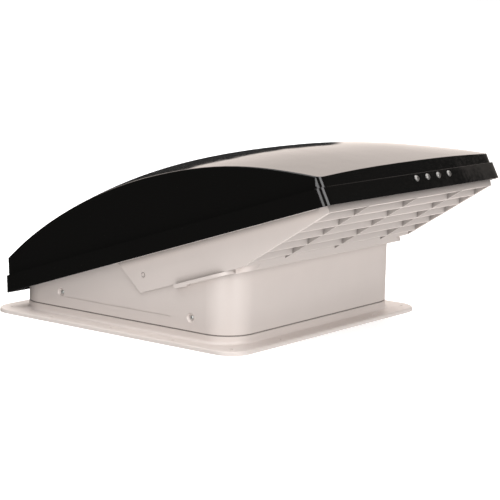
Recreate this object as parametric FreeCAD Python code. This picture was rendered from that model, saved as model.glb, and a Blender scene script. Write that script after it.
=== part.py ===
import FreeCAD
import Part
import math
import os

# Twelve-volt roof exhaust fan with a hinged rain hood, shown with the hood raised.
# Millimetres, +Z up. Origin: centre of the square roof flange, on its underside.
# The grille and the fascia face -Y; the hood hinges along X near the rear (+Y) wall.

V = FreeCAD.Vector

# Roof flange and the 14 inch roof opening
FLANGE_HALF = 209.5
FLANGE_CORNER = 30.0
FLANGE_THICK = 5.4
FLANGE_EDGE_R = 2.4
CURB_FILLET = 4.0
CURB_HALF = 185.0
CURB_TOP = 15.2
CURB_CORNER = 41.0
OPENING_HALF = 177.8
COLLAR_OUTER = 180.4
COLLAR_TOP = 39.0
COLLAR_CORNER = 36.0
SCREW_LINE = 200.0
SCREW_OFFSETS = (-105.0, 0.0, 105.0)
CORNER_SCREW = 190.0
SCREW_HOLE_R = 2.2
SEAL_INSET = 1.2
SEAL_GAP = 0.2

# Base housing that drops over the collar
HOUSE_HALF = 184.8
HOUSE_CORNER = 41.0
HOUSE_WALL = 2.8
HOUSE_BOTTOM = 17.0
HOUSE_FRONT_TOP = 101.0
HOUSE_REAR_TOP = 60.0
HOUSE_SLOPE_START = -25.0
BODY_SCREWS = ((102.6, 35.9), (-119.7, 33.4))
POCKET_R = 6.0
POCKET_FLOOR_R = 4.0
POCKET_DEPTH = 3.0
PART_LINE_Z = 31.0
PART_LINE_Y = (-88.0, 97.0)
PART_LINE_WIDTH = 1.0
PART_LINE_DEPTH = 0.6
SCREW_PAD_WIDER = 2.5

# Fan
THROAT_R = 156.0
THROAT_WALL = 3.0
THROAT_BOTTOM = 33.0
THROAT_TOP = 77.0
DECK_THICK = 3.0
ROTOR_R = 152.4
ROTOR_Z = 58.0
HUB_R = 44.0
HUB_BOTTOM = 45.0
HUB_TOP = 74.0
BLADE_COUNT = 10
SHAFT_R = 4.0
MOTOR_R = 40.0
MOTOR_BOTTOM = 86.0
MOTOR_TOP = 128.0
MOTOR_SCREW_CIRCLE = 28.0
VENT_COUNT = 6
CAP_R = 13.0
CAP_HEIGHT = 6.0
SPIDER_Z = 80.0
SPIDER_ANGLES = (90.0, 210.0, 330.0)
SPIDER_REACH = 172.0
SPIDER_ARM_HALF = 7.0
SPIDER_THICK = 4.0
SPIDER_FOOT_THICK = 3.0
SPIDER_BORE_R = 12.0
BLADE_STATIONS = (
    # chord, pitch in degrees and camber at the root, halfway and at the tip
    (30.0, 38.0, 3.0),
    (52.0, 28.0, 4.0),
    (62.0, 20.0, 4.0),
)
BLADE_HALF_THICK = 1.4
NUT_R = 9.0
NUT_HEIGHT = 7.0

# Ceiling side: screen and control strip
SCREEN_BOTTOM = 18.0
SCREEN_TOP = 24.0
SCREEN_OUTER = (-175.5, 132.0, 174.0)    # x from, x to, half width in y
SCREEN_INNER = (-161.5, 118.0, 145.0)
SCREEN_SEAT = (-165.5, 122.0, 149.0)
MESH_INSET = 0.5
MESH_STEP = 13.0
WIRE = 0.8
SEAT_DEPTH = 1.2
PANEL_X = (134.0, 175.0)
PANEL_Y = 157.0
PANEL_BOTTOM = 12.0
PANEL_TOP = 30.0
BUTTON_X = 155.0
BUTTON_YS = (-50.0, -18.0, 14.0, 46.0, 78.0)
BUTTON_R = 7.0
LENS_YS = (110.0, 122.0, 134.0)
KNOB_STEM_R = 4.0
KNOB_DISC_R = 9.0
KNOB_CAP_R = 7.0
KNOB_PLACES = ((-150.0, -160.0), (108.0, -160.0), (-150.0, 160.0), (108.0, 160.0))

# Hood hinge and lift gear
TILT = 18.2
PIVOT_Y = 100.0
PIVOT_Z = 52.0
PIVOT_PIN_R = 4.0
LUG_X = 166.0
LIFT_Y = -158.0
LIFT_Z = 97.0
LIFT_R = 5.0
ARM_LENGTH = 100.0
ARM_ANGLE = 4.4
ARM_X = 164.0
ARM_PIN_R = 3.5
WHEEL_X = 140.0
WHEEL_TEETH = 24
WHEEL_PITCH_R = 16.0
WORM_PITCH_R = 7.0
CRANK_R = 3.5
TOOTH_HALF_DEPTH = 1.1
CRANK_Y = LIFT_Y + WHEEL_PITCH_R + WORM_PITCH_R

# Hood, in its own frame: u runs forward from the rear bottom edge, w runs up
HOOD_REAR_Y = 191.0
HOOD_REAR_Z = 23.9
LID_WALL = 3.0
LID_CORNER = 12.0
SEAM_W = 23.4
SKIRT_HALF = 200.4
SKIRT_LOW = (1.0, -3.2, 552.7)    # height w, rear u, front u
SKIRT_HIGH = (SEAM_W, 3.2, 549.0)
UPPER_HALF = 196.0
UPPER_LOW = (SEAM_W, 3.0, 547.7)
UPPER_HIGH = (44.0, 8.4, 544.6)
SIDE_DRAFT = 0.111
RIDGE_R = 2.5
LID_CEILING = 130.0
CROWN_POWER = 2.5
CROWN_SPANS = 8
LID_STATIONS = (
    # u, ridge height, extra height of the crown
    (0.0, 40.6, 7.0),
    (58.0, 64.2, 13.0),
    (117.0, 80.3, 17.5),
    (173.0, 90.0, 19.5),
    (251.0, 95.5, 18.6),
    (323.0, 92.5, 16.8),
    (390.0, 83.6, 15.1),
    (452.0, 68.8, 11.7),
    (510.0, 49.2, 6.8),
    (556.0, 31.0, 3.6),
)
PANEL_IN_X = 185.5
PANEL_THICK = 2.0
PANEL_LOW_W = -43.0
PANEL_TOP_W = 3.0
PANEL_REAR_U = (201.0, 228.0)
RIVET_PLACE = (239.0, -21.4)
RIVET_R = 1.6
RIVET_HEAD_R = 2.4
DIMPLE_R = 4.0
DIMPLE_DEPTH = 1.2
GRILLE_LOW = (400.0, -42.3)
GRILLE_HIGH = (541.9, -6.4)
GRILLE_HALF = 185.2
GRILLE_DEPTH = 9.0
GRILLE_GAP = 0.2
SLAT_FIRST = 11.0
SLAT_PITCH = 26.7
SLAT_COUNT = 5
SLAT_THICK = 2.2
SLAT_LEAN = 7.0
RIB_XS = (-101.0, 6.0, 113.0)
RIB_THICK = 1.4
GRILLE_SIDE = 4.0
TOP_BAR_REAR_U = 532.0
TOP_BAR_W = 2.2
RIM_W = (-47.4, PANEL_LOW_W)
RIM_OUT_X = 193.0
RIM_START_U = 290.0
RIM_FRONT_U = 389.0
RIM_CORNER = 38.0
RIM_BAR = 6.0
RIM_BAR_LOW_W = -49.2
RIM_BAR_CORNER = 47.0
RIM_TAB_U = (292.0, 311.0)
RIM_TAB_W = -48.6
FASCIA_SCREW_XS = (0.0, 25.4, 50.8, 76.2)
FASCIA_SCREW_W = 17.0


def box(x0, x1, y0, y1, z0, z1):
    """Box between two corners."""
    return Part.makeBox(x1 - x0, y1 - y0, z1 - z0, V(x0, y0, z0))


def cylinder(radius, x, y, z0, z1):
    """Upright cylinder."""
    return Part.makeCylinder(radius, z1 - z0, V(x, y, z0))


def cross_cylinder(radius, x0, x1, y, z):
    """Cylinder along X."""
    return Part.makeCylinder(radius, x1 - x0, V(x0, y, z), V(1, 0, 0))


def rounded_prism(x0, x1, y0, y1, z0, z1, radius):
    """Upright prism on a rectangle with rounded corners."""
    solid = box(x0, x1, y0, y1, z0, z1)
    edges = [edge for edge in solid.Edges if abs(edge.tangentAt(edge.FirstParameter).z) > 0.9]
    return solid.makeFillet(radius, edges)


def square_prism(half, z0, z1, radius):
    """Rounded square prism centred on the origin."""
    return rounded_prism(-half, half, -half, half, z0, z1, radius)


def profile_along_x(points, x0, x1):
    """Extrusion along X of a closed outline given as (y, z) points."""
    wire = Part.makePolygon([V(x0, y, z) for y, z in points + points[:1]])
    return Part.Face(wire).extrude(V(x1 - x0, 0, 0))


def fused(shapes):
    """One solid made of several overlapping ones."""
    result = shapes[0].fuse(list(shapes[1:]))
    return result.removeSplitter()


def both_sides(shape):
    """The shape and its mirror image in the plane x = 0, as separate solids."""
    return Part.makeCompound([shape, mirrored(shape)])


def mirrored(shape):
    """Mirror image in the plane x = 0."""
    return shape.mirror(V(0, 0, 0), V(1, 0, 0))


def to_open(shape):
    """Carry a piece drawn in the hood's frame (x, -u, w) to its raised place."""
    placed = shape.copy()
    placed.rotate(V(0, 0, 0), V(1, 0, 0), -TILT)
    placed.translate(V(0, HOOD_REAR_Y, HOOD_REAR_Z))
    return placed


def to_hood(y, z):
    """Hood-frame (u, w) of a point of the raised hood."""
    tilt = math.radians(TILT)
    back = HOOD_REAR_Y - y
    up = z - HOOD_REAR_Z
    return (back * math.cos(tilt) + up * math.sin(tilt), up * math.cos(tilt) - back * math.sin(tilt))


def dome_screw(shank_r, head_r, head_h, length):
    """Screw standing on z = 0 with its domed head above and its shank below."""
    sphere_r = (head_r ** 2 + head_h ** 2) / (2 * head_h)
    ball = Part.makeSphere(sphere_r, V(0, 0, head_h - sphere_r))
    head = ball.common(cylinder(head_r, 0, 0, 0, head_h))
    slot = box(-head_r, head_r, -0.5, 0.5, head_h * 0.55, head_h + 1)
    cross = box(-0.5, 0.5, -head_r, head_r, head_h * 0.55, head_h + 1)
    recess = slot.fuse(cross).common(cylinder(head_r * 0.55, 0, 0, 0, head_h + 1))
    return fused([head.cut(recess), cylinder(shank_r, 0, 0, -length, 0.2)])


# --- roof flange -----------------------------------------------------------------

def flange_screw_places():
    """Centres of the sixteen roof screw holes: three a side and one in each corner."""
    places = [(x, y) for x in (-CORNER_SCREW, CORNER_SCREW) for y in (-CORNER_SCREW, CORNER_SCREW)]
    for offset in SCREW_OFFSETS:
        for side in (-SCREW_LINE, SCREW_LINE):
            places.append((offset, side))
            places.append((side, offset))
    return places


def make_roof_flange():
    """Square plate, raised curb and the collar that the housing slides over."""
    plate = square_prism(FLANGE_HALF, 0, FLANGE_THICK, FLANGE_CORNER)
    rim = [edge for edge in plate.Edges if edge.BoundBox.ZMin > FLANGE_THICK - 0.01]
    plate = plate.makeFillet(FLANGE_EDGE_R, rim)
    curb = square_prism(CURB_HALF, 0, CURB_TOP, CURB_CORNER)
    flange = fused([plate, curb])
    foot = [edge for edge in flange.Edges
            if abs(edge.BoundBox.ZMin - FLANGE_THICK) < 0.01 and edge.BoundBox.ZLength < 0.01
            and max(abs(edge.BoundBox.XMax), abs(edge.BoundBox.YMax),
                    abs(edge.BoundBox.XMin), abs(edge.BoundBox.YMin)) < CURB_HALF + 0.1]
    flange = flange.makeFillet(CURB_FILLET, foot)
    collar = square_prism(COLLAR_OUTER, 0, COLLAR_TOP, COLLAR_CORNER)
    flange = fused([flange, collar])
    wall = COLLAR_OUTER - OPENING_HALF
    flange = flange.cut(square_prism(OPENING_HALF, -1, COLLAR_TOP + 1, COLLAR_CORNER - wall))
    for x, y in flange_screw_places():
        flange = flange.cut(cylinder(SCREW_HOLE_R, x, y, -1, FLANGE_THICK + 1))
    for y, z in BODY_SCREWS:
        hole = cross_cylinder(SCREW_HOLE_R, OPENING_HALF - 1, COLLAR_OUTER + 1, y, z)
        flange = flange.cut([hole, mirrored(hole)])
    return flange


def make_gap_seal():
    """Foam seal squeezed between the curb and the housing."""
    outer = square_prism(HOUSE_HALF - SEAL_INSET, CURB_TOP, HOUSE_BOTTOM, HOUSE_CORNER - SEAL_INSET)
    return outer.cut(square_prism(COLLAR_OUTER + SEAL_GAP, CURB_TOP - 1, HOUSE_BOTTOM + 1, COLLAR_CORNER))


# --- base housing ----------------------------------------------------------------

def make_base_housing():
    outer = square_prism(HOUSE_HALF, HOUSE_BOTTOM, HOUSE_FRONT_TOP, HOUSE_CORNER)
    inner_half = HOUSE_HALF - HOUSE_WALL
    inner = square_prism(inner_half, HOUSE_BOTTOM - 1, HOUSE_FRONT_TOP + 1, HOUSE_CORNER - HOUSE_WALL)
    shell = outer.cut(inner)
    pads = []
    for y, z in BODY_SCREWS:
        pads.append(cross_cylinder(POCKET_R + SCREW_PAD_WIDER, COLLAR_OUTER + SEAL_GAP, inner_half + 1, y, z))
    pads = pads + [mirrored(pad) for pad in pads]
    shell = fused([shell] + pads)
    rear = HOUSE_HALF + 1
    slope = (HOUSE_FRONT_TOP - HOUSE_REAR_TOP) / (HOUSE_HALF - HOUSE_SLOPE_START)
    rear_z = HOUSE_REAR_TOP - slope
    wedge = [(HOUSE_SLOPE_START, HOUSE_FRONT_TOP), (rear, rear_z), (rear, HOUSE_FRONT_TOP + 2),
             (HOUSE_SLOPE_START, HOUSE_FRONT_TOP + 2)]
    shell = shell.cut(profile_along_x(wedge, -HOUSE_HALF - 1, HOUSE_HALF + 1))
    for y, z in BODY_SCREWS:
        pocket = Part.makeCone(POCKET_FLOOR_R, POCKET_R, POCKET_DEPTH + 0.01,
                               V(HOUSE_HALF - POCKET_DEPTH, y, z), V(1, 0, 0))
        hole = cross_cylinder(SCREW_HOLE_R, COLLAR_OUTER, HOUSE_HALF, y, z)
        shell = shell.cut([pocket, hole, mirrored(pocket), mirrored(hole)])
    groove = box(HOUSE_HALF - PART_LINE_DEPTH, HOUSE_HALF + 1, PART_LINE_Y[0], PART_LINE_Y[1],
                 PART_LINE_Z - PART_LINE_WIDTH / 2, PART_LINE_Z + PART_LINE_WIDTH / 2)
    return shell.cut([groove, mirrored(groove)])


def make_body_screws():
    """Side screws that hold the housing to the collar, heads sunk in the pockets."""
    screw = dome_screw(2.0, 3.0, 1.4, 6.0)
    screw.rotate(V(0, 0, 0), V(0, 1, 0), 90)
    solids = []
    for y, z in BODY_SCREWS:
        placed = screw.copy()
        placed.translate(V(HOUSE_HALF - POCKET_DEPTH, y, z))
        solids.extend([placed, mirrored(placed)])
    return Part.makeCompound(solids)


# --- fan -------------------------------------------------------------------------

def make_fan_deck():
    """Deck plate that closes the housing round the throat."""
    deck = square_prism(COLLAR_OUTER, COLLAR_TOP, COLLAR_TOP + DECK_THICK, COLLAR_CORNER)
    holes = [cylinder(THROAT_R + THROAT_WALL, 0, 0, COLLAR_TOP - 1, COLLAR_TOP + DECK_THICK + 1),
             cylinder(5.0, WHEEL_X, CRANK_Y, COLLAR_TOP - 1, COLLAR_TOP + DECK_THICK + 1)]
    for x, y in deck_screw_places():
        holes.append(cylinder(SCREW_HOLE_R, x, y, COLLAR_TOP - 1, COLLAR_TOP + DECK_THICK + 1))
    return deck.cut(holes)


def make_fan_throat():
    """Round throat with a rolled lip, in which the rotor turns."""
    tube = cylinder(THROAT_R + THROAT_WALL, 0, 0, THROAT_BOTTOM, THROAT_TOP)
    tube = tube.cut(cylinder(THROAT_R, 0, 0, THROAT_BOTTOM - 1, THROAT_TOP + 1))
    lip = Part.makeTorus(THROAT_R + THROAT_WALL, THROAT_WALL, V(0, 0, THROAT_TOP))
    return fused([tube, lip])


def deck_screw_places():
    return [(-150.0, 150.0), (150.0, 150.0), (-150.0, -130.0), (118.0, -150.0)]


def make_deck_screws():
    screw = dome_screw(2.0, 4.0, 2.4, DECK_THICK + 3)
    solids = []
    for x, y in deck_screw_places():
        placed = screw.copy()
        placed.translate(V(x, y, COLLAR_TOP + DECK_THICK))
        solids.append(placed)
    return Part.makeCompound(solids)


def make_motor_bracket():
    """Three-armed spider that stands on the deck and holds the motor above the rotor."""
    deck_top = COLLAR_TOP + DECK_THICK
    shapes = [cylinder(MOTOR_R + 5, 0, 0, SPIDER_Z, MOTOR_BOTTOM)]
    arm_top = SPIDER_Z + SPIDER_THICK
    half = SPIDER_ARM_HALF
    for angle in SPIDER_ANGLES:
        arm = box(MOTOR_R - 5, SPIDER_REACH, -half, half, SPIDER_Z, arm_top)
        leg = box(SPIDER_REACH - SPIDER_THICK, SPIDER_REACH, -half, half, deck_top, arm_top)
        foot = box(SPIDER_REACH - 2 * SPIDER_THICK, SPIDER_REACH + SPIDER_THICK, -half - 2, half + 2,
                   deck_top, deck_top + SPIDER_FOOT_THICK)
        bar = fused([arm, leg, foot])
        bar.rotate(V(0, 0, 0), V(0, 0, 1), angle)
        shapes.append(bar)
    bracket = fused(shapes)
    bracket = bracket.cut(cylinder(SPIDER_BORE_R, 0, 0, SPIDER_Z - 1, MOTOR_BOTTOM + 1))
    for x, y in motor_screw_places():
        bracket = bracket.cut(cylinder(SCREW_HOLE_R, x, y, SPIDER_Z - 1, MOTOR_BOTTOM + 1))
    return bracket


def motor_screw_places():
    places = []
    for index in range(3):
        angle = math.radians(30 + 120 * index)
        places.append((MOTOR_SCREW_CIRCLE * math.cos(angle), MOTOR_SCREW_CIRCLE * math.sin(angle)))
    return places


def make_motor_can():
    can = cylinder(MOTOR_R, 0, 0, MOTOR_BOTTOM, MOTOR_TOP)
    top = [edge for edge in can.Edges if edge.BoundBox.ZMin > MOTOR_TOP - 0.01]
    can = can.makeFillet(4.0, top)
    can = can.cut(cylinder(SHAFT_R + 0.05, 0, 0, MOTOR_BOTTOM - 1, MOTOR_TOP - 6))
    for x, y in motor_screw_places():
        can = can.cut(cylinder(2.05, x, y, MOTOR_BOTTOM - 1, MOTOR_BOTTOM + 6))
    for index in range(VENT_COUNT):
        slot = box(MOTOR_R / 2, MOTOR_R * 0.8, -2.5, 2.5, MOTOR_TOP - 2.5, MOTOR_TOP + 1)
        slot.rotate(V(0, 0, 0), V(0, 0, 1), 360.0 / VENT_COUNT * index)
        can = can.cut(slot)
    return can


def make_motor_cap():
    """Small bearing cap on top of the motor."""
    cap = cylinder(CAP_R, 0, 0, MOTOR_TOP, MOTOR_TOP + CAP_HEIGHT)
    top = [edge for edge in cap.Edges if edge.BoundBox.ZMin > MOTOR_TOP + CAP_HEIGHT - 0.1]
    return cap.makeFillet(2.5, top)


def make_motor_screws():
    screw = dome_screw(2.0, 3.8, 2.2, MOTOR_BOTTOM - SPIDER_Z + 5)
    screw.rotate(V(0, 0, 0), V(1, 0, 0), 180)
    solids = []
    for x, y in motor_screw_places():
        placed = screw.copy()
        placed.translate(V(x, y, SPIDER_Z))
        solids.append(placed)
    return Part.makeCompound(solids)


def make_rotor_shaft():
    return cylinder(SHAFT_R, 0, 0, HUB_BOTTOM - 10, MOTOR_TOP - 8)


def make_fan_rotor():
    """Moulded hub with ten pitched blades."""
    hub = cylinder(HUB_R, 0, 0, HUB_BOTTOM, HUB_TOP)
    hub = hub.makeFillet(6.0, [edge for edge in hub.Edges if edge.BoundBox.ZMax < HUB_BOTTOM + 0.01])
    pocket = cylinder(HUB_R - 4, 0, 0, HUB_BOTTOM + 5, HUB_TOP + 1)
    boss = cylinder(10.0, 0, 0, HUB_BOTTOM + 2, HUB_TOP - 4)
    shapes = [fused([hub.cut(pocket), boss])]
    for index in range(BLADE_COUNT):
        blade = make_blade()
        blade.rotate(V(0, 0, 0), V(0, 0, 1), 360.0 / BLADE_COUNT * index)
        shapes.append(blade)
    rotor = fused(shapes)
    return rotor.cut(cylinder(SHAFT_R, 0, 0, HUB_BOTTOM - 1, HUB_TOP + 1))


def blade_section(x, chord, pitch_deg, camber):
    """Closed blade section at radius x: two arcs, thick in the middle."""
    half = chord / 2
    pitch = math.radians(pitch_deg)

    def point(along, up):
        y = along * math.cos(pitch) - up * math.sin(pitch)
        z = along * math.sin(pitch) + up * math.cos(pitch)
        return V(x, y, ROTOR_Z + z)

    top = Part.Arc(point(-half, 0), point(0, camber + BLADE_HALF_THICK), point(half, 0)).toShape()
    low = Part.Arc(point(half, 0), point(0, camber - BLADE_HALF_THICK), point(-half, 0)).toShape()
    return Part.Wire([top, low])


def make_blade():
    radii = (HUB_R - 2.5, (HUB_R + ROTOR_R) / 2, ROTOR_R + 2)
    sections = [blade_section(radius, *station) for radius, station in zip(radii, BLADE_STATIONS)]
    room = cylinder(ROTOR_R, 0, 0, HUB_BOTTOM - 15, HUB_TOP + 16)
    return Part.makeLoft(sections, True).common(room)


def make_rotor_nut():
    """Spinner nut under the hub."""
    low = HUB_BOTTOM - NUT_HEIGHT
    nut = cylinder(NUT_R, 0, 0, low, HUB_BOTTOM)
    nut = nut.makeFillet(2.0, [edge for edge in nut.Edges if edge.BoundBox.ZMax < low + 0.1])
    return nut.cut(cylinder(SHAFT_R, 0, 0, low - 1, HUB_BOTTOM + 1))


# --- ceiling side ----------------------------------------------------------------

def screen_prism(size, z0, z1, radius):
    """Rounded prism over one of the screen's (x from, x to, half width) rectangles."""
    x0, x1, half = size
    return rounded_prism(x0, x1, -half, half, z0, z1, radius)


def make_screen_frame():
    outer = screen_prism(SCREEN_OUTER, SCREEN_BOTTOM, SCREEN_TOP, 32)
    inner = screen_prism(SCREEN_INNER, SCREEN_BOTTOM - 1, SCREEN_TOP + 1, 8)
    x0, x1, half = SCREEN_SEAT
    seat = box(x0, x1, -half, half, SCREEN_TOP - SEAT_DEPTH, SCREEN_TOP + 1)
    frame = outer.cut([inner, seat])
    for x, y in KNOB_PLACES:
        frame = frame.cut(cylinder(KNOB_STEM_R + 0.1, x, y, SCREEN_BOTTOM - 1, SCREEN_TOP + 1))
    return frame


def make_screen_mesh():
    """Insect mesh, drawn as a coarse wire grid lying in the frame's seat."""
    x0, x1 = SCREEN_SEAT[0] + MESH_INSET, SCREEN_SEAT[1] - MESH_INSET
    half = SCREEN_SEAT[2] - MESH_INSET
    low = SCREEN_TOP - SEAT_DEPTH
    bars = [box(x0, x1, -half, -half + 2, low, low + 1), box(x0, x1, half - 2, half, low, low + 1)]
    count_x = int((x1 - x0) / MESH_STEP)
    count_y = int(2 * half / MESH_STEP)
    for index in range(count_x + 1):
        x = x0 + (x1 - x0 - WIRE) * index / count_x
        bars.append(box(x, x + WIRE, -half, half, low, low + WIRE))
    for index in range(1, count_y):
        y = -half + 2 * half * index / count_y
        bars.append(box(x0, x1, y, y + WIRE, low, low + WIRE))
    return fused(bars)


def make_screen_knob(x, y):
    """Quarter-turn knob whose wing overlaps the screen frame from below."""
    stem = cylinder(KNOB_STEM_R, x, y, SCREEN_BOTTOM - 1, SCREEN_TOP + 6)
    disc = cylinder(KNOB_DISC_R, x, y, SCREEN_BOTTOM - 6, SCREEN_BOTTOM - 0.6)
    grip = box(x - KNOB_DISC_R + 0.5, x + KNOB_DISC_R - 0.5, y - 1.8, y + 1.8,
               SCREEN_BOTTOM - 10, SCREEN_BOTTOM - 5)
    cap = cylinder(KNOB_CAP_R, x, y, SCREEN_TOP + 0.6, SCREEN_TOP + 3)
    return fused([stem, disc, grip, cap])


def make_control_panel():
    x0, x1 = PANEL_X
    outer = rounded_prism(x0, x1, -PANEL_Y, PANEL_Y, PANEL_BOTTOM, PANEL_TOP, 8)
    inner = rounded_prism(x0 + 2, x1 - 2, -PANEL_Y + 2, PANEL_Y - 2, PANEL_BOTTOM + 2, PANEL_TOP + 1, 6)
    panel = outer.cut(inner)
    for y in BUTTON_YS:
        panel = panel.cut(cylinder(BUTTON_R + 0.4, BUTTON_X, y, PANEL_BOTTOM - 1, PANEL_BOTTOM + 3))
    for y in LENS_YS:
        panel = panel.cut(cylinder(2.0, BUTTON_X, y, PANEL_BOTTOM - 1, PANEL_BOTTOM + 3))
    return panel.cut(cylinder(5.0, WHEEL_X, CRANK_Y, PANEL_BOTTOM - 1, PANEL_BOTTOM + 3))


def make_button(y):
    """Domed push button with a flange behind the panel face."""
    stem = cylinder(BUTTON_R, BUTTON_X, y, PANEL_BOTTOM - 1.6, PANEL_BOTTOM + 4)
    stem = stem.makeFillet(1.2, [edge for edge in stem.Edges if edge.BoundBox.ZMax < PANEL_BOTTOM - 1.5])
    flange = cylinder(BUTTON_R + 1.6, BUTTON_X, y, PANEL_BOTTOM + 2.1, PANEL_BOTTOM + 4)
    return fused([stem, flange])


def make_indicator_lenses():
    lenses = [cylinder(1.95, BUTTON_X, y, PANEL_BOTTOM - 0.5, PANEL_BOTTOM + 4) for y in LENS_YS]
    return Part.makeCompound(lenses)


def make_circuit_board():
    x0, x1 = PANEL_X
    board = box(x0 + 4, x1 - 4, -70, PANEL_Y - 6, PANEL_BOTTOM + 10, PANEL_BOTTOM + 11.6)
    chips = [box(146, 162, 20 * index - 40, 20 * index - 30, PANEL_BOTTOM + 11.6, PANEL_BOTTOM + 14)
             for index in range(5)]
    pegs = [cylinder(3.0, x0 + 6, y, PANEL_BOTTOM + 2, PANEL_BOTTOM + 10) for y in (-60.0, 150.0)]
    return fused([board] + chips + pegs)


# --- lift gear -------------------------------------------------------------------

def make_lift_shaft():
    """Cross shaft that carries the worm wheel and the two lift arms."""
    return cross_cylinder(LIFT_R, -172.0, 172.0, LIFT_Y, LIFT_Z)


def lift_arm(side):
    """Arm from the cross shaft to the slotted hanger, with its pin."""
    pin_y = LIFT_Y + ARM_LENGTH
    x0, x1 = ARM_X - 2.5, ARM_X + 2.5
    big = cross_cylinder(11.0, x0, x1, LIFT_Y, LIFT_Z)
    small = cross_cylinder(8.0, x0, x1, pin_y, LIFT_Z)
    bar = box(x0, x1, LIFT_Y, pin_y, LIFT_Z - 6, LIFT_Z + 6)
    pin = cross_cylinder(ARM_PIN_R, x0, ARM_X + 12.5, pin_y, LIFT_Z)
    arm = fused([big, small, bar, pin])
    arm = arm.cut(cross_cylinder(LIFT_R, x0 - 1, x1 + 1, LIFT_Y, LIFT_Z))
    arm.rotate(V(0, LIFT_Y, LIFT_Z), V(1, 0, 0), ARM_ANGLE)
    return arm if side > 0 else mirrored(arm)


def make_worm_wheel():
    """Spur-like wheel whose tooth gaps take the worm's thread."""
    width = 6.0
    pitch_angle = 360.0 / WHEEL_TEETH
    root_r = WHEEL_PITCH_R - TOOTH_HALF_DEPTH - 0.5
    wheel = cross_cylinder(root_r, WHEEL_X - width / 2, WHEEL_X + width / 2, LIFT_Y, LIFT_Z)
    shapes = [wheel]
    tip_r = WHEEL_PITCH_R + TOOTH_HALF_DEPTH
    for index in range(WHEEL_TEETH):
        tooth = [(LIFT_Y + root_r - 1, LIFT_Z - 0.85), (LIFT_Y + tip_r, LIFT_Z - 0.4),
                 (LIFT_Y + tip_r, LIFT_Z + 0.4), (LIFT_Y + root_r - 1, LIFT_Z + 0.85)]
        solid = profile_along_x(tooth, WHEEL_X - width / 2, WHEEL_X + width / 2)
        solid.rotate(V(0, LIFT_Y, LIFT_Z), V(1, 0, 0), pitch_angle * (index + 0.5))
        shapes.append(solid)
    wheel = fused(shapes)
    hub = cross_cylinder(9.0, WHEEL_X - 7, WHEEL_X + 7, LIFT_Y, LIFT_Z)
    wheel = fused([wheel, hub])
    return wheel.cut(cross_cylinder(LIFT_R, WHEEL_X - 20, WHEEL_X + 20, LIFT_Y, LIFT_Z))


def make_worm():
    """Single-start right-hand worm on the crank shaft."""
    pitch = 2 * math.pi * WHEEL_PITCH_R / WHEEL_TEETH
    core_r = WORM_PITCH_R - TOOTH_HALF_DEPTH - 0.4
    turns = 5
    height = turns * pitch
    base_z = LIFT_Z - height / 2
    helix = Part.makeHelix(pitch, height, core_r)
    low = core_r - 0.6
    high = WORM_PITCH_R + TOOTH_HALF_DEPTH - 0.3
    outline = [V(low, 0, -0.85), V(high, 0, -0.4), V(high, 0, 0.4), V(low, 0, 0.85), V(low, 0, -0.85)]
    thread = Part.Wire(helix).makePipeShell([Part.makePolygon(outline)], True, True)
    core = Part.makeCylinder(core_r, height + 8, V(0, 0, -4))
    bore = Part.makeCylinder(CRANK_R, height + 10, V(0, 0, -5))
    worm = core.fuse(thread).removeSplitter().cut(bore)
    worm.rotate(V(0, 0, 0), V(0, 0, 1), -90 + 360 * turns / 2)
    worm.translate(V(WHEEL_X, CRANK_Y, base_z))
    return worm


def make_crank_shaft():
    """Vertical shaft from the hand knob up through the deck into the worm."""
    return cylinder(CRANK_R, WHEEL_X, CRANK_Y, PANEL_BOTTOM - 3, LIFT_Z + 25)


def make_crank_knob():
    knob = cylinder(11.0, WHEEL_X, CRANK_Y, 1.5, PANEL_BOTTOM - 1)
    knob = knob.makeFillet(1.5, [edge for edge in knob.Edges if edge.BoundBox.ZMax < 1.6])
    flutes = []
    for index in range(10):
        angle = math.radians(36 * index)
        flutes.append(cylinder(1.8, WHEEL_X + 12 * math.cos(angle), CRANK_Y + 12 * math.sin(angle),
                               0, PANEL_BOTTOM))
    return knob.cut(flutes + [cylinder(CRANK_R, WHEEL_X, CRANK_Y, PANEL_BOTTOM - 3, PANEL_BOTTOM)])


def make_lift_bracket():
    """Gear bracket on the deck: two cheeks for the cross shaft and a top bearing for the worm."""
    deck_top = COLLAR_TOP + DECK_THICK
    y0, y1 = LIFT_Y - 14, CRANK_Y + 9
    head = LIFT_Z + 19
    shapes = [box(WHEEL_X - 14, WHEEL_X - 10, y0, LIFT_Y + 12, deck_top, head + 4),
              box(WHEEL_X + 10, WHEEL_X + 14, y0, y1, deck_top, head + 4),
              box(WHEEL_X - 14, WHEEL_X + 14, y0, y1, head, head + 4),
              box(WHEEL_X - 14, WHEEL_X + 14, y0, y1, deck_top, deck_top + 3)]
    bracket = fused(shapes)
    bracket = bracket.cut(cross_cylinder(LIFT_R + 0.05, WHEEL_X - 20, WHEEL_X + 20, LIFT_Y, LIFT_Z))
    return bracket.cut(cylinder(CRANK_R + 0.05, WHEEL_X, CRANK_Y, deck_top - 1, head + 5))


def make_shaft_bearing():
    """Bearing block for the cross shaft's other end."""
    deck_top = COLLAR_TOP + DECK_THICK
    post = box(-152, -144, LIFT_Y - 10, LIFT_Y + 10, deck_top, LIFT_Z + 10)
    foot = box(-156, -140, LIFT_Y - 14, LIFT_Y + 12, deck_top, deck_top + 3)
    block = fused([post, foot])
    return block.cut(cross_cylinder(LIFT_R + 0.05, -160, -130, LIFT_Y, LIFT_Z))


# --- hood hinge ------------------------------------------------------------------

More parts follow.
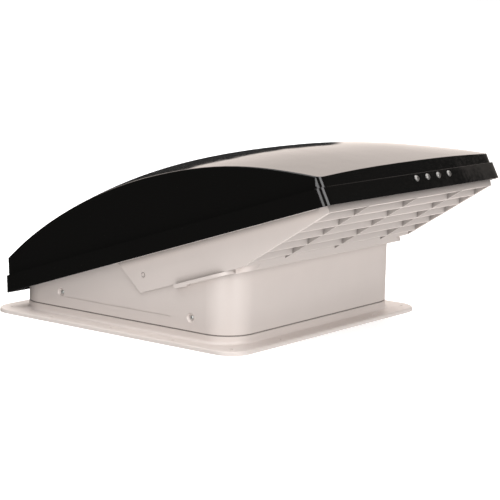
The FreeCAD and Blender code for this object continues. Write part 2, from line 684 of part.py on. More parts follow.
def make_hinge_bracket(side):
    """Forked lug on the deck that carries a hinge pin."""
    deck_top = COLLAR_TOP + DECK_THICK
    foot = box(LUG_X - 12, LUG_X + 12, PIVOT_Y - 16, PIVOT_Y + 16, deck_top, deck_top + 2.5)
    shapes = [foot]
    for x in (LUG_X - 9, LUG_X + 5):
        shapes.append(cross_cylinder(8.5, x, x + 4, PIVOT_Y, PIVOT_Z))
        shapes.append(box(x, x + 4, PIVOT_Y - 8.5, PIVOT_Y + 8.5, deck_top, PIVOT_Z))
    bracket = fused(shapes)
    bracket = bracket.cut(cross_cylinder(PIVOT_PIN_R, LUG_X - 20, LUG_X + 20, PIVOT_Y, PIVOT_Z))
    return bracket if side > 0 else mirrored(bracket)


def make_hinge_pins():
    pin = fused([cross_cylinder(PIVOT_PIN_R, LUG_X - 11, LUG_X + 11, PIVOT_Y, PIVOT_Z),
                 cross_cylinder(PIVOT_PIN_R + 2, LUG_X + 9.2, LUG_X + 11, PIVOT_Y, PIVOT_Z)])
    return both_sides(pin)


def make_hinge_arm(side):
    """Moulded arm from the lid's roof down to the hinge pin."""
    u, w = to_hood(PIVOT_Y, PIVOT_Z)
    x0, x1 = LUG_X - 4, LUG_X + 4
    eye = cross_cylinder(7.0, x0, x1, -u, w)
    web = box(x0, x1, -u - 7, -u + 7, w, 88.0)
    arm = fused([eye, web.common(lid_inside())])
    arm = arm.cut(cross_cylinder(PIVOT_PIN_R + 0.05, x0 - 1, x1 + 1, -u, w))
    arm = to_open(arm)
    return arm if side > 0 else mirrored(arm)


def pin_in_hood():
    """Hood-frame place of the lift arm's pin when the hood is raised."""
    angle = math.radians(ARM_ANGLE)
    return to_hood(LIFT_Y + ARM_LENGTH * math.cos(angle), LIFT_Z + ARM_LENGTH * math.sin(angle))


def make_lift_hanger(side):
    """Slotted plate under the lid's roof that the lift arm's pin pushes on."""
    u, w = pin_in_hood()
    x0, x1 = ARM_X + 6.0, ARM_X + 9.0
    plate = box(x0, x1, -u - 22, -u + 22, w - 11, 100.0)
    plate = plate.common(lid_inside())
    slot_half = ARM_PIN_R + 0.8
    slot = fused([box(x0 - 1, x1 + 1, -u - 10, -u + 10, w - slot_half, w + slot_half),
                  cross_cylinder(slot_half, x0 - 1, x1 + 1, -u - 10, w),
                  cross_cylinder(slot_half, x0 - 1, x1 + 1, -u + 10, w)])
    plate = to_open(plate.cut(slot))
    return plate if side > 0 else mirrored(plate)


# --- lid -------------------------------------------------------------------------

def lid_section(u, ridge, crown, inset):
    """Cross-section of the upper lid at u: leaning sides and a crowned top joined by small arcs."""
    foot = V(UPPER_HALF - inset, -u, SEAM_W - 2 * inset)
    corner = V(UPPER_HALF - SIDE_DRAFT * (ridge - SEAM_W) - inset, -u, ridge - inset)

    def crown_point(x):
        return V(x, -u, corner.z + crown * (1 - abs(x / corner.x) ** CROWN_POWER))

    down = (foot - corner).normalize()
    inward = V(-corner.x, 0, crown * CROWN_POWER).normalize()
    half_angle = down.getAngle(inward) / 2
    reach = RIDGE_R / math.tan(half_angle)
    middle = (down + inward).normalize() * (RIDGE_R / math.sin(half_angle) - RIDGE_R)
    side_end = corner + down * reach
    edge = corner.x + inward.x * reach
    arc = Part.Arc(side_end, corner + middle, crown_point(edge)).toShape()
    curve = Part.BSplineCurve()
    curve.interpolate([crown_point(edge * math.cos(math.pi * index / CROWN_SPANS))
                       for index in range(CROWN_SPANS + 1)])
    side = Part.makeLine(foot, side_end)
    floor = Part.makeLine(V(-foot.x, foot.y, foot.z), foot)
    return Part.Wire([side, arc, curve.toShape(), mirrored(arc), mirrored(side), floor])


def lid_block(inset):
    """Solid whose top is the lid's crowned surface, brought in by the inset."""
    return Part.makeLoft([lid_section(u, ridge, crown, inset) for u, ridge, crown in LID_STATIONS], True)


def lid_inside():
    """Room under the lid's roof and the space below it, as a solid in the hood's frame."""
    below = box(-HOUSE_HALF, HOUSE_HALF, -UPPER_LOW[2], 0, 2 * PANEL_LOW_W, SEAM_W)
    return fused([lid_block(LID_WALL), below])


def rounded_outline(half, rear, front, w, radius):
    """Closed wire round a rectangle with rounded corners at height w of the hood's frame."""
    prism = rounded_prism(-half, half, -front, -rear, w, w + 1, radius)
    floor = [face for face in prism.Faces if face.BoundBox.ZMax < w + 0.1]
    return floor[0].OuterWire


def tapered_block(half, low, high, w0, w1, inset):
    """Rounded block from w0 up to w1 whose ends lean as low and high say, brought in by the inset."""
    outlines = []
    for w in (w0, w1):
        share = (w - low[0]) / (high[0] - low[0])
        rear = low[1] + (high[1] - low[1]) * share + inset
        front = low[2] + (high[2] - low[2]) * share - inset
        outlines.append(rounded_outline(half - inset, rear, front, w, LID_CORNER - inset))
    return Part.makeLoft(outlines, True, True)


def upper_block(w0, w1, inset):
    return tapered_block(UPPER_HALF, UPPER_LOW, UPPER_HIGH, w0, w1, inset)


def skirt_block(w0, w1, inset):
    return tapered_block(SKIRT_HALF, SKIRT_LOW, SKIRT_HIGH, w0, w1, inset)


def make_lid_upper():
    """Crowned black cover above the seam."""
    outer = lid_block(0).common(upper_block(SEAM_W, LID_CEILING, 0))
    room = lid_block(LID_WALL).common(upper_block(SEAM_W - 10, LID_CEILING, LID_WALL))
    return to_open(outer.cut(room))


def make_lid_skirt():
    """Lower tier of the lid: a flared rim that stands proud of the cover all round."""
    skirt = skirt_block(SKIRT_LOW[0], SEAM_W, 0)
    room = skirt_block(SKIRT_LOW[0] - 1, SEAM_W - LID_WALL, LID_WALL)
    mouth = upper_block(SEAM_W - LID_WALL - 1, SEAM_W + 1, LID_WALL)
    holes = [on_fascia(cylinder(2.0, 0, 0, -10, 10), x) for x in FASCIA_SCREW_XS]
    return to_open(skirt.cut([room, mouth] + holes))


def on_fascia(shape, x):
    """Carry a piece drawn standing on z = 0 to the fascia's screw line, at x in the hood's frame."""
    lean = math.atan2(SKIRT_LOW[2] - SKIRT_HIGH[2], SKIRT_HIGH[0] - SKIRT_LOW[0])
    front = SKIRT_LOW[2] - (FASCIA_SCREW_W - SKIRT_LOW[0]) * math.tan(lean)
    placed = shape.copy()
    placed.rotate(V(0, 0, 0), V(1, 0, 0), 90 - math.degrees(lean))
    placed.translate(V(x, -front, FASCIA_SCREW_W))
    return placed


def make_fascia_screws():
    screw = dome_screw(1.9, 4.3, 2.6, 8.0)
    return Part.makeCompound([to_open(on_fascia(screw, x)) for x in FASCIA_SCREW_XS])


# --- hood ------------------------------------------------------------------------

def make_hood_side(side):
    """White side panel with a flange inside the lid's skirt and a dimple for its rivet."""
    x0, x1 = PANEL_IN_X, PANEL_IN_X + PANEL_THICK
    top_u, low_u = PANEL_REAR_U
    points = [(low_u, PANEL_LOW_W), (RIM_FRONT_U, PANEL_LOW_W), GRILLE_LOW, GRILLE_HIGH,
              (GRILLE_HIGH[0], PANEL_TOP_W), (top_u, PANEL_TOP_W)]
    panel = profile_along_x([(-u, w) for u, w in points], x0, x1)
    flange = box(x0, SKIRT_HALF - LID_WALL, -GRILLE_HIGH[0] + LID_CORNER, -top_u,
                 PANEL_TOP_W - 2, PANEL_TOP_W)
    panel = fused([panel, flange])
    u, w = RIVET_PLACE
    dimple = Part.makeCone(RIVET_HEAD_R + 0.2, DIMPLE_R, DIMPLE_DEPTH + 0.01,
                           V(x1 - DIMPLE_DEPTH, -u, w), V(1, 0, 0))
    panel = to_open(panel.cut([dimple, cross_cylinder(RIVET_R + 0.1, x0 - 1, x1 + 1, -u, w)]))
    return panel if side > 0 else mirrored(panel)


def make_hood_rivets():
    """Plastic rivets, their flat heads lying in the side panels' dimples."""
    u, w = RIVET_PLACE
    seat = PANEL_IN_X + PANEL_THICK - DIMPLE_DEPTH
    head = cross_cylinder(RIVET_HEAD_R, seat, seat + DIMPLE_DEPTH, -u, w)
    head = head.makeFillet(0.5, [edge for edge in head.Edges if edge.BoundBox.XMin > seat + 0.1])
    shank = cross_cylinder(RIVET_R, PANEL_IN_X, seat + 0.1, -u, w)
    return both_sides(to_open(fused([head, shank])))


def make_hood_rim():
    """U-shaped drip rim along the hood's lower edge, joined to the bar under the grille."""
    low, high = RIM_W
    outer = rounded_prism(-RIM_OUT_X, RIM_OUT_X, -RIM_FRONT_U, 0, low, high, RIM_CORNER)
    inner = rounded_prism(-PANEL_IN_X, PANEL_IN_X, -RIM_FRONT_U + RIM_BAR, 60, low - 1, high + 1,
                          RIM_CORNER - RIM_BAR)
    rear = box(-RIM_OUT_X - 1, RIM_OUT_X + 1, -RIM_START_U, 61, low - 1, high + 1)
    tab = box(PANEL_IN_X + 0.5, RIM_OUT_X, -RIM_TAB_U[1], -RIM_TAB_U[0], RIM_TAB_W, high)
    outline = [(-RIM_FRONT_U + RIM_BAR, high + 4.0), (-RIM_FRONT_U + RIM_BAR, RIM_BAR_LOW_W),
               (-GRILLE_LOW[0] + 2.0, RIM_BAR_LOW_W), (-GRILLE_LOW[0], GRILLE_LOW[1]),
               grille_point(SLAT_LEAN * RIM_BAR / GRILLE_DEPTH, RIM_BAR)]
    below = box(-RIM_OUT_X, RIM_OUT_X, -GRILLE_LOW[0] - 1, 0, RIM_BAR_LOW_W - 1, high)
    round_ends = rounded_prism(-RIM_OUT_X, RIM_OUT_X, -GRILLE_LOW[0], 0, RIM_BAR_LOW_W - 2, high + 1,
                               RIM_BAR_CORNER)
    bar = profile_along_x(outline, -GRILLE_HALF, GRILLE_HALF).cut(below.cut(round_ends))
    return to_open(fused([outer.cut([inner, rear]), tab, mirrored(tab), bar]))


def grille_point(along, depth):
    """(y, z) in the hood's frame of a point so far up the grille's slope and so deep behind its face."""
    du = GRILLE_HIGH[0] - GRILLE_LOW[0]
    dw = GRILLE_HIGH[1] - GRILLE_LOW[1]
    length = math.hypot(du, dw)
    u = GRILLE_LOW[0] + du * along / length - dw * depth / length
    w = GRILLE_LOW[1] + dw * along / length + du * depth / length
    return (-u, w)


def grille_slab(x0, x1, low, high):
    """Plate through the grille's depth; low and high give its front and back places up the slope."""
    outline = [grille_point(low[0], 0), grille_point(high[0], 0),
               grille_point(high[1], GRILLE_DEPTH), grille_point(low[1], GRILLE_DEPTH)]
    return profile_along_x(outline, x0, x1)


def make_grille():
    """Louvred outlet: side rails, leaning slats, thin ribs down the slope and a bar across the top."""
    length = math.hypot(GRILLE_HIGH[0] - GRILLE_LOW[0], GRILLE_HIGH[1] - GRILLE_LOW[1])
    foot = (GRILLE_GAP, GRILLE_GAP + SLAT_LEAN)
    head = (length, length)
    shapes = [box(-GRILLE_HALF, GRILLE_HALF, -GRILLE_HIGH[0], -TOP_BAR_REAR_U, GRILLE_HIGH[1], TOP_BAR_W),
              grille_slab(-GRILLE_HALF, -GRILLE_HALF + GRILLE_SIDE, foot, head),
              grille_slab(GRILLE_HALF - GRILLE_SIDE, GRILLE_HALF, foot, head)]
    for x in RIB_XS:
        shapes.append(grille_slab(x - RIB_THICK / 2, x + RIB_THICK / 2, foot, head))
    for index in range(SLAT_COUNT):
        start = SLAT_FIRST + SLAT_PITCH * index
        shapes.append(grille_slab(-GRILLE_HALF, GRILLE_HALF, (start, start + SLAT_LEAN),
                                  (start + SLAT_THICK, start + SLAT_THICK + SLAT_LEAN)))
    return to_open(fused(shapes))


PARTS = {
    "roof_flange": make_roof_flange,
    "gap_seal": make_gap_seal,
    "base_housing": make_base_housing,
    "body_screws": make_body_screws,
    "fan_deck": make_fan_deck,
    "fan_throat": make_fan_throat,
    "deck_screws": make_deck_screws,
    "motor_bracket": make_motor_bracket,
    "motor_can": make_motor_can,
    "motor_cap": make_motor_cap,
    "motor_screws": make_motor_screws,
    "rotor_shaft": make_rotor_shaft,
    "fan_rotor": make_fan_rotor,
    "rotor_nut": make_rotor_nut,
    "screen_frame": make_screen_frame,
    "screen_mesh": make_screen_mesh,
    "control_panel": make_control_panel,
    "indicator_lenses": make_indicator_lenses,
    "circuit_board": make_circuit_board,
    "lift_shaft": make_lift_shaft,
    "lift_arm_left": lambda: lift_arm(-1),
    "lift_arm_right": lambda: lift_arm(1),
    "worm_wheel": make_worm_wheel,
    "worm": make_worm,
    "crank_shaft": make_crank_shaft,
    "crank_knob": make_crank_knob,
    "lift_bracket": make_lift_bracket,
    "shaft_bearing": make_shaft_bearing,
    "hinge_bracket_left": lambda: make_hinge_bracket(-1),
    "hinge_bracket_right": lambda: make_hinge_bracket(1),
    "hinge_pins": make_hinge_pins,
    "hinge_arm_left": lambda: make_hinge_arm(-1),
    "hinge_arm_right": lambda: make_hinge_arm(1),
    "lift_hanger_left": lambda: make_lift_hanger(-1),
    "lift_hanger_right": lambda: make_lift_hanger(1),
    "lid_upper": make_lid_upper,
    "lid_skirt": make_lid_skirt,
    "fascia_screws": make_fascia_screws,
    "hood_side_left": lambda: make_hood_side(-1),
    "hood_side_right": lambda: make_hood_side(1),
    "hood_rivets": make_hood_rivets,
    "hood_rim": make_hood_rim,
    "outlet_grille": make_grille,
}
for number, (knob_x, knob_y) in enumerate(KNOB_PLACES, 1):
    PARTS["screen_knob_%d" % number] = lambda x=knob_x, y=knob_y: make_screen_knob(x, y)
for number, button_y in enumerate(BUTTON_YS, 1):
    PARTS["button_%d" % number] = lambda y=button_y: make_button(y)

os.makedirs("parts", exist_ok=True)
for node, make in PARTS.items():
    shape = make()
    shape.exportStep(os.path.join("parts", node + ".step"))
    summary = (node, len(shape.Solids), shape.isValid(), shape.Volume)
    print("%-22s solids %d valid %s volume %.0f mm3" % summary)
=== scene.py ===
import math

import bpy
from mathutils import Matrix, Vector


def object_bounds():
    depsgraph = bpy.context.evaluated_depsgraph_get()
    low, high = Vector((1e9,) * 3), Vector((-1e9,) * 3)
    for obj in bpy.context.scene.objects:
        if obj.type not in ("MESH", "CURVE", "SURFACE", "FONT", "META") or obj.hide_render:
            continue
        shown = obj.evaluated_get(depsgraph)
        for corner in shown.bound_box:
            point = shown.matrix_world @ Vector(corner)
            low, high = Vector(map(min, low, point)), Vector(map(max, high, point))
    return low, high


# Roof exhaust fan with its rain hood raised: materials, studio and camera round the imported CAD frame.
# Metres throughout, +Z up; the fascia and the grille face -Y.

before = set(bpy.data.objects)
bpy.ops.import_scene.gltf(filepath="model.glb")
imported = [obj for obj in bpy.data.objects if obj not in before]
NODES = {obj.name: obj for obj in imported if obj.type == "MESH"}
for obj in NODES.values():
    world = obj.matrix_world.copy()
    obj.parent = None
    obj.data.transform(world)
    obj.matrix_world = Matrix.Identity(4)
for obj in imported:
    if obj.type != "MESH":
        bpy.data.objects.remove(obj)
CAD_BOX = [list(corner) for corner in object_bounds()]
MM = 0.001


# ---------------------------------------------------------------- node helpers

# the Mix node's sockets for colours, which share their names with those for numbers and vectors
MIX_COLOURS_IN = (6, 7)
MIX_COLOUR_OUT = 2

NOISE_SPAN = (0.3, 0.7)         # most of a noise texture's values lie between these
SPECK_CORE = 0.6                # share of a speck's radius that is solid; the rest fades out
EDGE_SAMPLES = 4
RECESS_SAMPLES = 8
RECESS_SPAN = (0.40, 0.95)      # ambient occlusion at the bottom of a recess, and on an open face


class Tree:
    """A node tree, with short calls for adding and joining nodes."""

    def __init__(self, tree):
        self.tree = tree
        self.tree.nodes.clear()

    def add(self, kind, **settings):
        node = self.tree.nodes.new(kind)
        for key, value in settings.items():
            setattr(node, key, value)
        return node

    def join(self, output, socket):
        self.tree.links.new(output, socket)

    def feed(self, socket, value):
        """Links an output to a socket, or sets the socket to a number or a colour."""
        if isinstance(value, bpy.types.NodeSocket):
            self.join(value, socket)
        else:
            socket.default_value = (*value, 1.0) if isinstance(value, tuple) else value

    def remap(self, value, low, high, to_low, to_high, **settings):
        """`value` carried over from low..high to to_low..to_high, and held at the ends."""
        node = self.add("ShaderNodeMapRange", **settings)
        for key, number in zip(("Value", "From Min", "From Max", "To Min", "To Max"),
                               (value, low, high, to_low, to_high)):
            self.feed(node.inputs[key], number)
        return node.outputs[0]


class Graph(Tree):
    """A material's node tree, with the patterns that the finishes are made of."""

    def __init__(self, name):
        self.material = bpy.data.materials.new(name)
        self.material.use_nodes = True
        super().__init__(self.material.node_tree)
        self.shader = self.add("ShaderNodeBsdfPrincipled")
        output = self.add("ShaderNodeOutputMaterial")
        self.join(self.shader.outputs[0], output.inputs["Surface"])
        self.place = self.add("ShaderNodeTexCoord").outputs["Object"]

    def stretch(self, scale):
        """Object coordinates scaled by a different amount along each axis."""
        node = self.add("ShaderNodeMapping")
        node.inputs["Scale"].default_value = scale
        self.join(self.place, node.inputs["Vector"])
        return node.outputs[0]

    def noise(self, size, detail=2.0, roughness=0.5, coords=None):
        """Noise whose features are about `size` metres across."""
        node = self.add("ShaderNodeTexNoise")
        node.inputs["Scale"].default_value = 1.0 / size
        node.inputs["Detail"].default_value = detail
        node.inputs["Roughness"].default_value = roughness
        self.join(coords or self.place, node.inputs["Vector"])
        return node.outputs["Fac"]

    def specks(self, size, radius):
        """Round spots `radius` cells wide, scattered one to a cell of `size` metres, as a 0..1 mask."""
        node = self.add("ShaderNodeTexVoronoi")
        node.inputs["Scale"].default_value = 1.0 / size
        self.join(self.place, node.inputs["Vector"])
        return self.remap(node.outputs["Distance"], radius * SPECK_CORE, radius, 1.0, 0.0)

    def vary(self, noise, low, high):
        """A number that wanders between low and high with a noise."""
        return self.remap(noise, *NOISE_SPAN, low, high)

    def mix(self, factor, first, second):
        """A colour between first and second; each is a socket or a plain colour."""
        node = self.add("ShaderNodeMix", data_type="RGBA")
        self.join(factor, node.inputs["Factor"])
        for index, colour in zip(MIX_COLOURS_IN, (first, second)):
            self.feed(node.inputs[index], colour)
        return node.outputs[MIX_COLOUR_OUT]

    def bump(self, height, distance, normal=None):
        """The normal tilted by a 0..1 height map that stands for `distance` metres."""
        node = self.add("ShaderNodeBump")
        node.inputs["Distance"].default_value = distance
        self.join(height, node.inputs["Height"])
        if normal is not None:
            self.join(normal, node.inputs["Normal"])
        return node.outputs[0]

    def round_edges(self, radius):
        node = self.add("ShaderNodeBevel", samples=EDGE_SAMPLES)
        node.inputs["Radius"].default_value = radius
        return node.outputs[0]

    def openness(self, reach):
        """0 deep in a recess and 1 on open faces, judged over `reach` metres."""
        node = self.add("ShaderNodeAmbientOcclusion", samples=RECESS_SAMPLES)
        node.inputs["Distance"].default_value = reach
        return self.remap(node.outputs["AO"], *RECESS_SPAN, 0.0, 1.0)

    def set(self, **sockets):
        """Feeds Principled sockets by name, with underscores for spaces."""
        for key, value in sockets.items():
            self.feed(self.shader.inputs[key.replace("_", " ")], value)
        return self.material


def shade(colour, amount):
    return tuple(channel * amount for channel in colour)


# ---------------------------------------------------------------- finishes

PLASTIC_IOR = 1.5
ACRYLIC_IOR = 1.49


def moulded(name, colour, roughness, recess=0.0):
    """Injection-moulded plastic: a faint cloudiness, patches of dust, a fine spark-eroded grain,
    softened edges, and painted shade that darkens corners and recesses up to `recess` metres deep."""
    cloud_size, dust_size, wear_size, grain_size = 45 * MM, 3 * MM, 18 * MM, 0.45 * MM
    cloud_spread = 0.03
    dust_span, dust_cover, dust_shade = (0.62, 0.80), 0.25, 0.82
    painted_recess_shade = 0.38
    grain_depth, edge = 0.006 * MM, 0.5 * MM

    g = Graph(name)
    clouds = g.noise(cloud_size, detail=3.0)
    dust = g.remap(g.noise(dust_size, detail=4.0, roughness=0.7), *dust_span, 0.0, dust_cover)
    tone = g.mix(clouds, shade(colour, 1.0 - cloud_spread), shade(colour, 1.0 + cloud_spread))
    tone = g.mix(dust, tone, shade(colour, dust_shade))
    # painted shade: the colour darkens where ambient occlusion finds a corner or recess
    if recess:
        tone = g.mix(g.openness(recess), shade(colour, painted_recess_shade), tone)
    normal = g.bump(g.noise(grain_size, detail=1.0), grain_depth, normal=g.round_edges(edge))
    wear = g.vary(g.noise(wear_size, detail=4.0), roughness - 0.05, roughness + 0.06)
    return g.set(Base_Color=tone, Roughness=wear, Normal=normal, IOR=PLASTIC_IOR)


def gloss_black(name):
    """Polished black plastic: near-mirror, a slow ripple, wiped streaks and a few motes of dust."""
    plastic, mote = (0.0035, 0.0033, 0.0030), (0.03, 0.029, 0.027)
    mote_spacing, mote_radius = 9 * MM, 0.035
    streak_size, wiped_along_y = 14 * MM, (3.0, 0.6, 3.0)
    streak_span, haze_span = (0.35, 0.75), (0.045, 0.11)
    ripple_size, ripple_depth, edge = 60 * MM, 0.20 * MM, 0.8 * MM

    g = Graph(name)
    tone = g.mix(g.specks(mote_spacing, mote_radius), plastic, mote)
    streaks = g.noise(streak_size, detail=5.0, coords=g.stretch(wiped_along_y))
    haze = g.remap(streaks, *streak_span, *haze_span)
    normal = g.bump(g.noise(ripple_size, detail=1.0), ripple_depth, normal=g.round_edges(edge))
    return g.set(Base_Color=tone, Roughness=haze, Normal=normal, IOR=PLASTIC_IOR)


def plated(name, colour, roughness):
    """Plated or drawn metal: fine level brush lines and a slight mottling of the plating."""
    mottle_size, mottle_shade = 6 * MM, 0.85
    brush_size, brush_depth, level_lines = 0.6 * MM, 0.01 * MM, (1.0, 1.0, 14.0)
    edge = 0.3 * MM

    g = Graph(name)
    brush = g.noise(brush_size, detail=2.0, coords=g.stretch(level_lines))
    tone = g.mix(g.noise(mottle_size, detail=3.0), shade(colour, mottle_shade), colour)
    wear = g.vary(brush, roughness - 0.06, roughness + 0.08)
    normal = g.bump(brush, brush_depth, normal=g.round_edges(edge))
    return g.set(Base_Color=tone, Roughness=wear, Normal=normal, Metallic=1.0)


def coated_metal(name, colour, roughness):
    """Satin paint on metal, with a fine orange peel."""
    cloud_size, cloud_spread = 20 * MM, 0.15
    peel_size, peel_depth, edge = 1.2 * MM, 0.02 * MM, 0.4 * MM

    g = Graph(name)
    peel = g.noise(peel_size, detail=2.0)
    tone = g.mix(g.noise(cloud_size), shade(colour, 1.0 - cloud_spread), shade(colour, 1.0 + cloud_spread))
    wear = g.vary(peel, roughness - 0.04, roughness + 0.04)
    normal = g.bump(peel, peel_depth, normal=g.round_edges(edge))
    return g.set(Base_Color=tone, Roughness=wear, Normal=normal, IOR=PLASTIC_IOR)


def foam(name, colour):
    """Closed-cell foam strip: open pores on a matt skin, with painted shade darkening the pores."""
    pore_spacing, pore_radius, pore_painted_shade, pore_depth = 0.9 * MM, 0.45, 0.4, 0.15 * MM
    skin, inside_pore = 0.85, 0.95

    g = Graph(name)
    pores = g.specks(pore_spacing, pore_radius)
    # painted shade: the pores are darkened as if shade falls inside them
    tone = g.mix(pores, colour, shade(colour, pore_painted_shade))
    wear = g.remap(pores, 0.0, 1.0, skin, inside_pore)
    return g.set(Base_Color=tone, Roughness=wear, Normal=g.bump(pores, -pore_depth))


def clear_lens(name, colour):
    """Tinted clear plastic of an indicator lens."""
    flow_size, flow_shade = 2 * MM, 0.9
    haze_span, clearness = (0.04, 0.10), 0.6

    g = Graph(name)
    flow = g.noise(flow_size, detail=1.0)
    tone = g.mix(flow, shade(colour, flow_shade), colour)
    return g.set(Base_Color=tone, Roughness=g.vary(flow, *haze_span), IOR=ACRYLIC_IOR,
                 Transmission_Weight=clearness)


def solder_mask(name, colour):
    """Green board with lighter copper tracks showing through the lacquer."""
    layout = {"Scale": 1.0, "Brick Width": 9 * MM, "Row Height": 2.5 * MM, "Mortar Size": 0.35 * MM}
    track_shade, track_height = 1.8, 0.03 * MM
    wear_size, wear_span = 5 * MM, (0.28, 0.38)

    g = Graph(name)
    bricks = g.add("ShaderNodeTexBrick", offset=0.5)
    for key, value in layout.items():
        bricks.inputs[key].default_value = value
    g.join(g.place, bricks.inputs["Vector"])
    tracks = bricks.outputs["Fac"]      # 1 in the joints between bricks
    tone = g.mix(tracks, colour, shade(colour, track_shade))
    return g.set(Base_Color=tone, Roughness=g.vary(g.noise(wear_size), *wear_span),
                 Normal=g.bump(tracks, track_height))


WHITE = (0.640, 0.572, 0.536)
SATIN = 0.34
# a finish for each material slot of the frame, with its colour and roughness
FINISHES = {
    "white_shell": (moulded, WHITE, SATIN),
    "black_lid": (gloss_black,),
    "grey_plastic": (moulded, (0.42, 0.41, 0.40), 0.45),
    "fan_plastic": (moulded, (0.055, 0.055, 0.058), 0.42),
    "zinc_steel": (plated, (0.62, 0.62, 0.60), 0.34),
    "bright_screw": (plated, (0.26, 0.25, 0.24), 0.42),
    "motor_steel": (coated_metal, (0.05, 0.05, 0.055), 0.40),
    "mesh_wire": (coated_metal, (0.10, 0.10, 0.105), 0.50),
    "seal_foam": (foam, (0.30, 0.27, 0.25)),
    "key_plastic": (moulded, (0.13, 0.14, 0.16), 0.42),
    "lens": (clear_lens, (0.30, 0.70, 0.30)),
    "circuit": (solder_mask, (0.02, 0.11, 0.04)),
    "gear_plastic": (moulded, (0.72, 0.68, 0.58), 0.38),
}
LOOKS = {slot_name: finish(slot_name, *look) for slot_name, (finish, *look) in FINISHES.items()}
# the same white with painted shade, darker in its recesses; the louvre's copy is also painted darker all
# over, for the shade under the lid
LOUVRE_PAINTED_SHADE = moulded("white_shell.louvre", shade(WHITE, 0.90), SATIN, recess=22 * MM)
PANEL_PAINTED_SHADE = moulded("white_shell.panel", WHITE, SATIN, recess=9 * MM)
OWN_LOOKS = {"outlet_grille": LOUVRE_PAINTED_SHADE, "hood_side_left": PANEL_PAINTED_SHADE, "hood_side_right": PANEL_PAINTED_SHADE}

for name, node in NODES.items():
    for slot in node.material_slots:
        slot.material = OWN_LOOKS.get(name) or LOOKS[slot.material.name.split(".")[0]]


# ---------------------------------------------------------------- studio
# Angles in degrees. Azimuth 0 is on the -Y side and 90 on the +X side; elevation 0 is level.

FLOOR_RADIUS = 30.0
FLOOR_TONES = ((0.90, 0.90, 0.90), (0.92, 0.92, 0.92))
FLOOR_PATCH = 1.5               # size of the floor's faint patches
FLOOR_ROUGHNESS = 0.9
FLOOR_SPECULAR = 0.1
FLOOR_GLOW = 0.45

SOFTBOX_AIM = Vector((0.0, -0.03, 0.12))
SOFTBOX_ELEVATION = 16.0
SOFTBOX_DISTANCE = 2.6
SOFTBOX_HEIGHT = 2.2

# The backdrop, a wall of light on the +X side that the lid's top mirrors.
BACKDROP_COLOUR = (1.0, 0.89, 0.82)
BACKDROP_SPAN = (66.7, 170.0)   # azimuths of its two ends
BACKDROP_SOFT = 0.25
BACKDROP_TOP = (28.0, 40.0)     # elevations over which it fades out
BACKDROP_GRADIENT = (100.0, 131.0, 0.70, 1.55)      # azimuth from, azimuth to, brightness at each
# The dark shape in front of it: azimuth from, azimuth to, elevation of its top at each.
SHAPE_TOP = (124.9, 130.7, 4.6, 9.0)
SHAPE_SOFT = 0.5
SHAPE_START = (124.5, 125.1)    # azimuths over which it begins

# The room's white areas: each has the elevations of its soft edge and a brightness.
ROOM_COLOUR = (1.0, 1.0, 1.0)
CEILING_EDGE = (40.0, 60.0)
CEILING_LEVEL = 2.8
GROUND_SOFT = 4.0
FRONT_GROUND_SPAN = (-84.0, 66.0)
FRONT_GROUND_EDGE = (-3.0, 0.0)
FRONT_GROUND_LEVEL = 0.55
SIDE_GROUND_SPAN = (-176.0, -84.0)
SIDE_GROUND_EDGE = (-20.0, -14.0)
SIDE_GROUND_LEVEL = 0.65
BELOW_EDGE = (-55.0, -40.0)
BELOW_LEVEL = 2.0
ROOM_LEVEL = 0.04               # added everywhere
SEEN_COLOUR = (1.0, 1.0, 1.0)   # what the camera sees behind the object


def toward(azimuth, elevation):
    """The unit vector from the object to that azimuth and elevation."""
    a, e = math.radians(azimuth), math.radians(elevation)
    return Vector((math.sin(a) * math.cos(e), -math.cos(a) * math.cos(e), math.sin(e)))


def stage_floor():
    """A plain pale floor under the flange, lit from below like a light table. It casts no light or
    shadow on the object."""
    underside = CAD_BOX[0][2]
    bpy.ops.mesh.primitive_circle_add(vertices=96, radius=FLOOR_RADIUS, fill_type="NGON",
                                      location=(0, 0, underside))
    floor = bpy.context.object
    floor.name = "studio_floor"
    floor.visible_glossy = False
    floor.visible_diffuse = False
    floor.visible_shadow = False
    g = Graph("studio_floor")
    tone = g.mix(g.noise(FLOOR_PATCH), *FLOOR_TONES)
    floor.data.materials.append(g.set(
        Base_Color=tone, Roughness=FLOOR_ROUGHNESS, Specular_IOR_Level=FLOOR_SPECULAR,
        Emission_Color=tone, Emission_Strength=FLOOR_GLOW))


def softbox(name, azimuth, width, radiance):
    """A rectangular soft light aimed at the middle of the object, unseen by the camera."""
    data = bpy.data.lights.new(name, "AREA")
    data.shape = "RECTANGLE"
    data.size = width
    data.size_y = SOFTBOX_HEIGHT
    data.energy = radiance * math.pi * width * SOFTBOX_HEIGHT
    light = bpy.data.objects.new(name, data)
    light.visible_camera = False
    bpy.context.scene.collection.objects.link(light)
    away = toward(azimuth, SOFTBOX_ELEVATION)
    light.location = SOFTBOX_AIM + away * SOFTBOX_DISTANCE
    light.rotation_euler = away.to_track_quat("Z", "Y").to_euler()


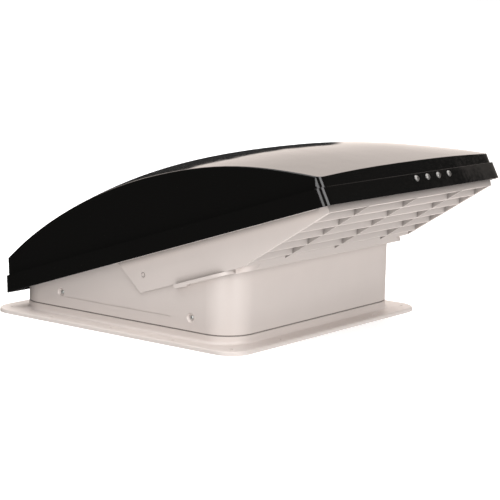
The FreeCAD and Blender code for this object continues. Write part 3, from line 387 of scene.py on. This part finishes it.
class Room(Tree):
    """The studio round the object: a world whose brightness depends on azimuth and elevation."""

    def __init__(self):
        world = bpy.data.worlds.new("studio")
        bpy.context.scene.world = world
        world.use_nodes = True
        super().__init__(world.node_tree)
        axes = self.add("ShaderNodeSeparateXYZ")
        self.join(self.add("ShaderNodeTexCoord").outputs["Generated"], axes.inputs[0])
        x, y, z = axes.outputs
        to_degrees = math.degrees(1.0)
        from_front = self.math("ARCTAN2", x, self.math("MULTIPLY", y, -1.0))
        self.azimuth = self.math("MULTIPLY", from_front, to_degrees)
        self.elevation = self.math("MULTIPLY", self.math("ARCSINE", z), to_degrees)

    def math(self, operation, *values):
        node = self.add("ShaderNodeMath", operation=operation)
        for socket, value in zip(node.inputs, values):
            self.feed(socket, value)
        return node.outputs[0]

    def ramp(self, value, low, high, to_low=0.0, to_high=1.0):
        """A remap that eases in and out."""
        return self.remap(value, low, high, to_low, to_high, interpolation_type="SMOOTHSTEP")

    def window(self, low, high, soft):
        """1 between two azimuths and 0 outside, with soft edges."""
        rise = self.ramp(self.azimuth, low - soft, low + soft)
        fall = self.ramp(self.azimuth, high - soft, high + soft, 1.0, 0.0)
        return self.math("MULTIPLY", rise, fall)

    def glow(self, level, colour):
        node = self.add("ShaderNodeBackground")
        self.feed(node.inputs["Color"], colour)
        self.join(level, node.inputs["Strength"])
        return node.outputs[0]

    def finish(self, first, second):
        """Sends both glows to the object's rays and a plain colour to the camera."""
        both = self.add("ShaderNodeAddShader")
        self.join(first, both.inputs[0])
        self.join(second, both.inputs[1])
        seen = self.add("ShaderNodeBackground")
        self.feed(seen.inputs["Color"], SEEN_COLOUR)
        mix = self.add("ShaderNodeMixShader")
        self.join(self.add("ShaderNodeLightPath").outputs["Is Camera Ray"], mix.inputs[0])
        self.join(both.outputs[0], mix.inputs[1])
        self.join(seen.outputs[0], mix.inputs[2])
        self.join(mix.outputs[0], self.add("ShaderNodeOutputWorld").inputs[0])


def studio_world():
    """A warm backdrop with a dark low shape in front of its far end, and in white a ceiling, the ground
    in front and on the left, and a glow from straight below."""
    r = Room()
    backdrop = r.math("MULTIPLY", r.remap(r.azimuth, *BACKDROP_GRADIENT),
                      r.window(*BACKDROP_SPAN, BACKDROP_SOFT))
    backdrop = r.math("MULTIPLY", backdrop, r.ramp(r.elevation, *BACKDROP_TOP, 1.0, 0.0))
    above_shape = r.math("SUBTRACT", r.elevation, r.remap(r.azimuth, *SHAPE_TOP))
    past_shape = r.math("MAXIMUM", r.ramp(above_shape, -SHAPE_SOFT, SHAPE_SOFT),
                        r.ramp(r.azimuth, *SHAPE_START, 1.0, 0.0))
    backdrop = r.math("MULTIPLY", backdrop, past_shape)

    ceiling = r.ramp(r.elevation, *CEILING_EDGE, 0.0, CEILING_LEVEL)
    front_ground = r.math("MULTIPLY", r.window(*FRONT_GROUND_SPAN, GROUND_SOFT),
                          r.ramp(r.elevation, *FRONT_GROUND_EDGE, FRONT_GROUND_LEVEL, 0.0))
    side_ground = r.math("MULTIPLY", r.window(*SIDE_GROUND_SPAN, GROUND_SOFT),
                         r.ramp(r.elevation, *SIDE_GROUND_EDGE, SIDE_GROUND_LEVEL, 0.0))
    below = r.ramp(r.elevation, *BELOW_EDGE, BELOW_LEVEL, 0.0)
    room = ROOM_LEVEL
    for area in (ceiling, front_ground, side_ground, below):
        room = r.math("ADD", area, room)
    r.finish(r.glow(backdrop, BACKDROP_COLOUR), r.glow(room, ROOM_COLOUR))


studio_world()
stage_floor()
softbox("softbox_left", azimuth=-70.0, width=0.92, radiance=4.2)
softbox("softbox_front", azimuth=-18.0, width=1.10, radiance=5.0)


# ---------------------------------------------------------------- camera
# Fitted to the flange's and the housing's edges in the photograph.

CAMERA_AZIMUTH = -52.404
CAMERA_ELEVATION = 9.357
CAMERA_ROLL = 1.309
CAMERA_LOCATION = (-1.7694, -1.4309, 0.4592)
CAMERA_LENS = 121.6             # millimetres, like the sensor's width
CAMERA_SENSOR = 36.0
CAMERA_REACH = 100.0


def camera_at_photo_angle():
    roll = math.radians(CAMERA_ROLL)
    back = toward(CAMERA_AZIMUTH, CAMERA_ELEVATION)
    level = (-back).cross(Vector((0, 0, 1))).normalized()
    upright = level.cross(-back)
    right = level * math.cos(roll) + upright * math.sin(roll)
    up = upright * math.cos(roll) - level * math.sin(roll)
    data = bpy.data.cameras.new("camera")
    data.sensor_width = CAMERA_SENSOR
    data.lens = CAMERA_LENS
    data.clip_end = CAMERA_REACH
    camera = bpy.data.objects.new("camera", data)
    bpy.context.scene.collection.objects.link(camera)
    turn = Matrix((right, up, back)).transposed().to_4x4()
    camera.matrix_world = Matrix.Translation(CAMERA_LOCATION) @ turn
    bpy.context.scene.camera = camera


camera_at_photo_angle()
bpy.context.scene.view_settings.view_transform = "Standard"
